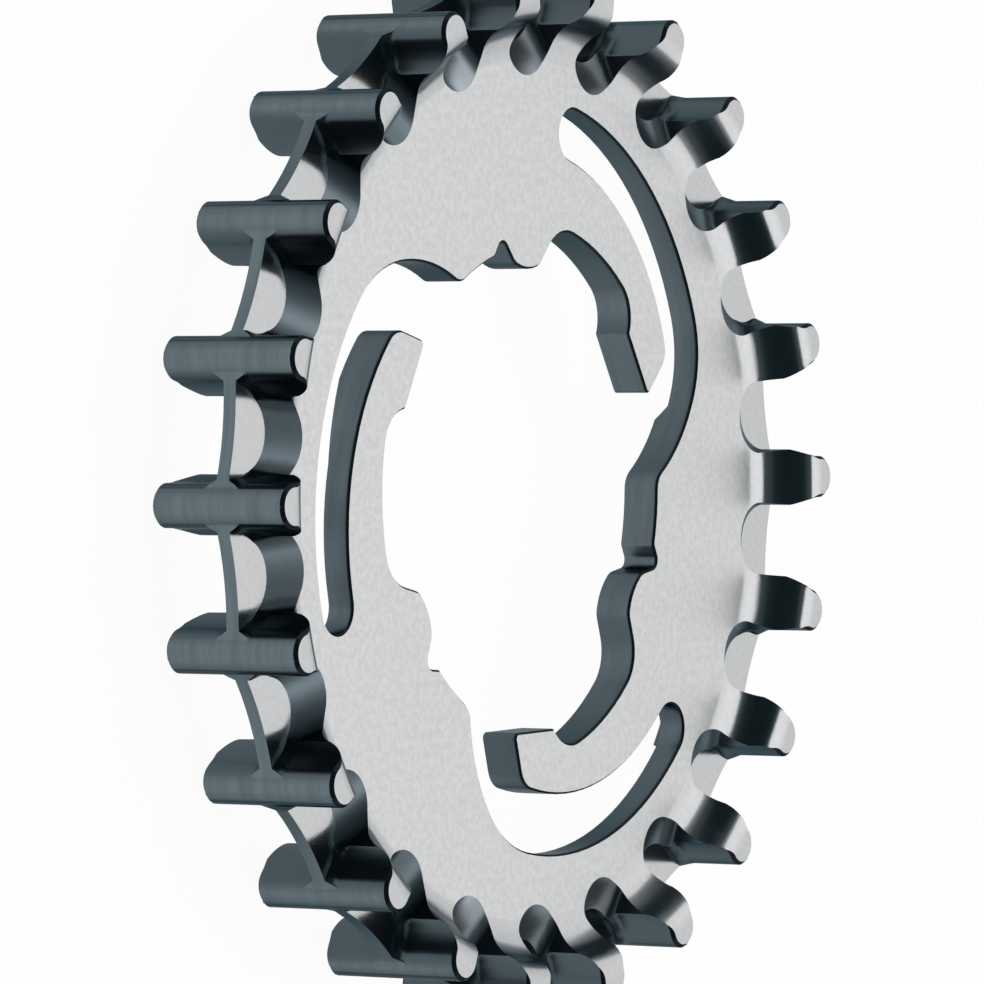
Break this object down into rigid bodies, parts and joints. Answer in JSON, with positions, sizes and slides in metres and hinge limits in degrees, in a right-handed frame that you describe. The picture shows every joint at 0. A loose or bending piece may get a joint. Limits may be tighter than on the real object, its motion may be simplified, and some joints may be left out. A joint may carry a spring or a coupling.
{
  "type": "belt drive sprocket",
  "caption": "Flat steel sprocket for a toothed drive belt, with a thin guide rib round the middle of the teeth, curved slotted arms and a splined centre for a cassette hub body.",
  "frame": {"origin": "on the wheel axis, at the middle of the tooth width", "axes": "+Z along the wheel axis towards the flat front face, +X through the middle of a tooth"},
  "size_m": [0.0746, 0.0738, 0.0108],
  "materials": {
    "tumbled_steel": "tumbled, satin"
  },
  "bodies": {
    "root": {"sprocket": "tumbled_steel"}
  },
  "joints": []
}
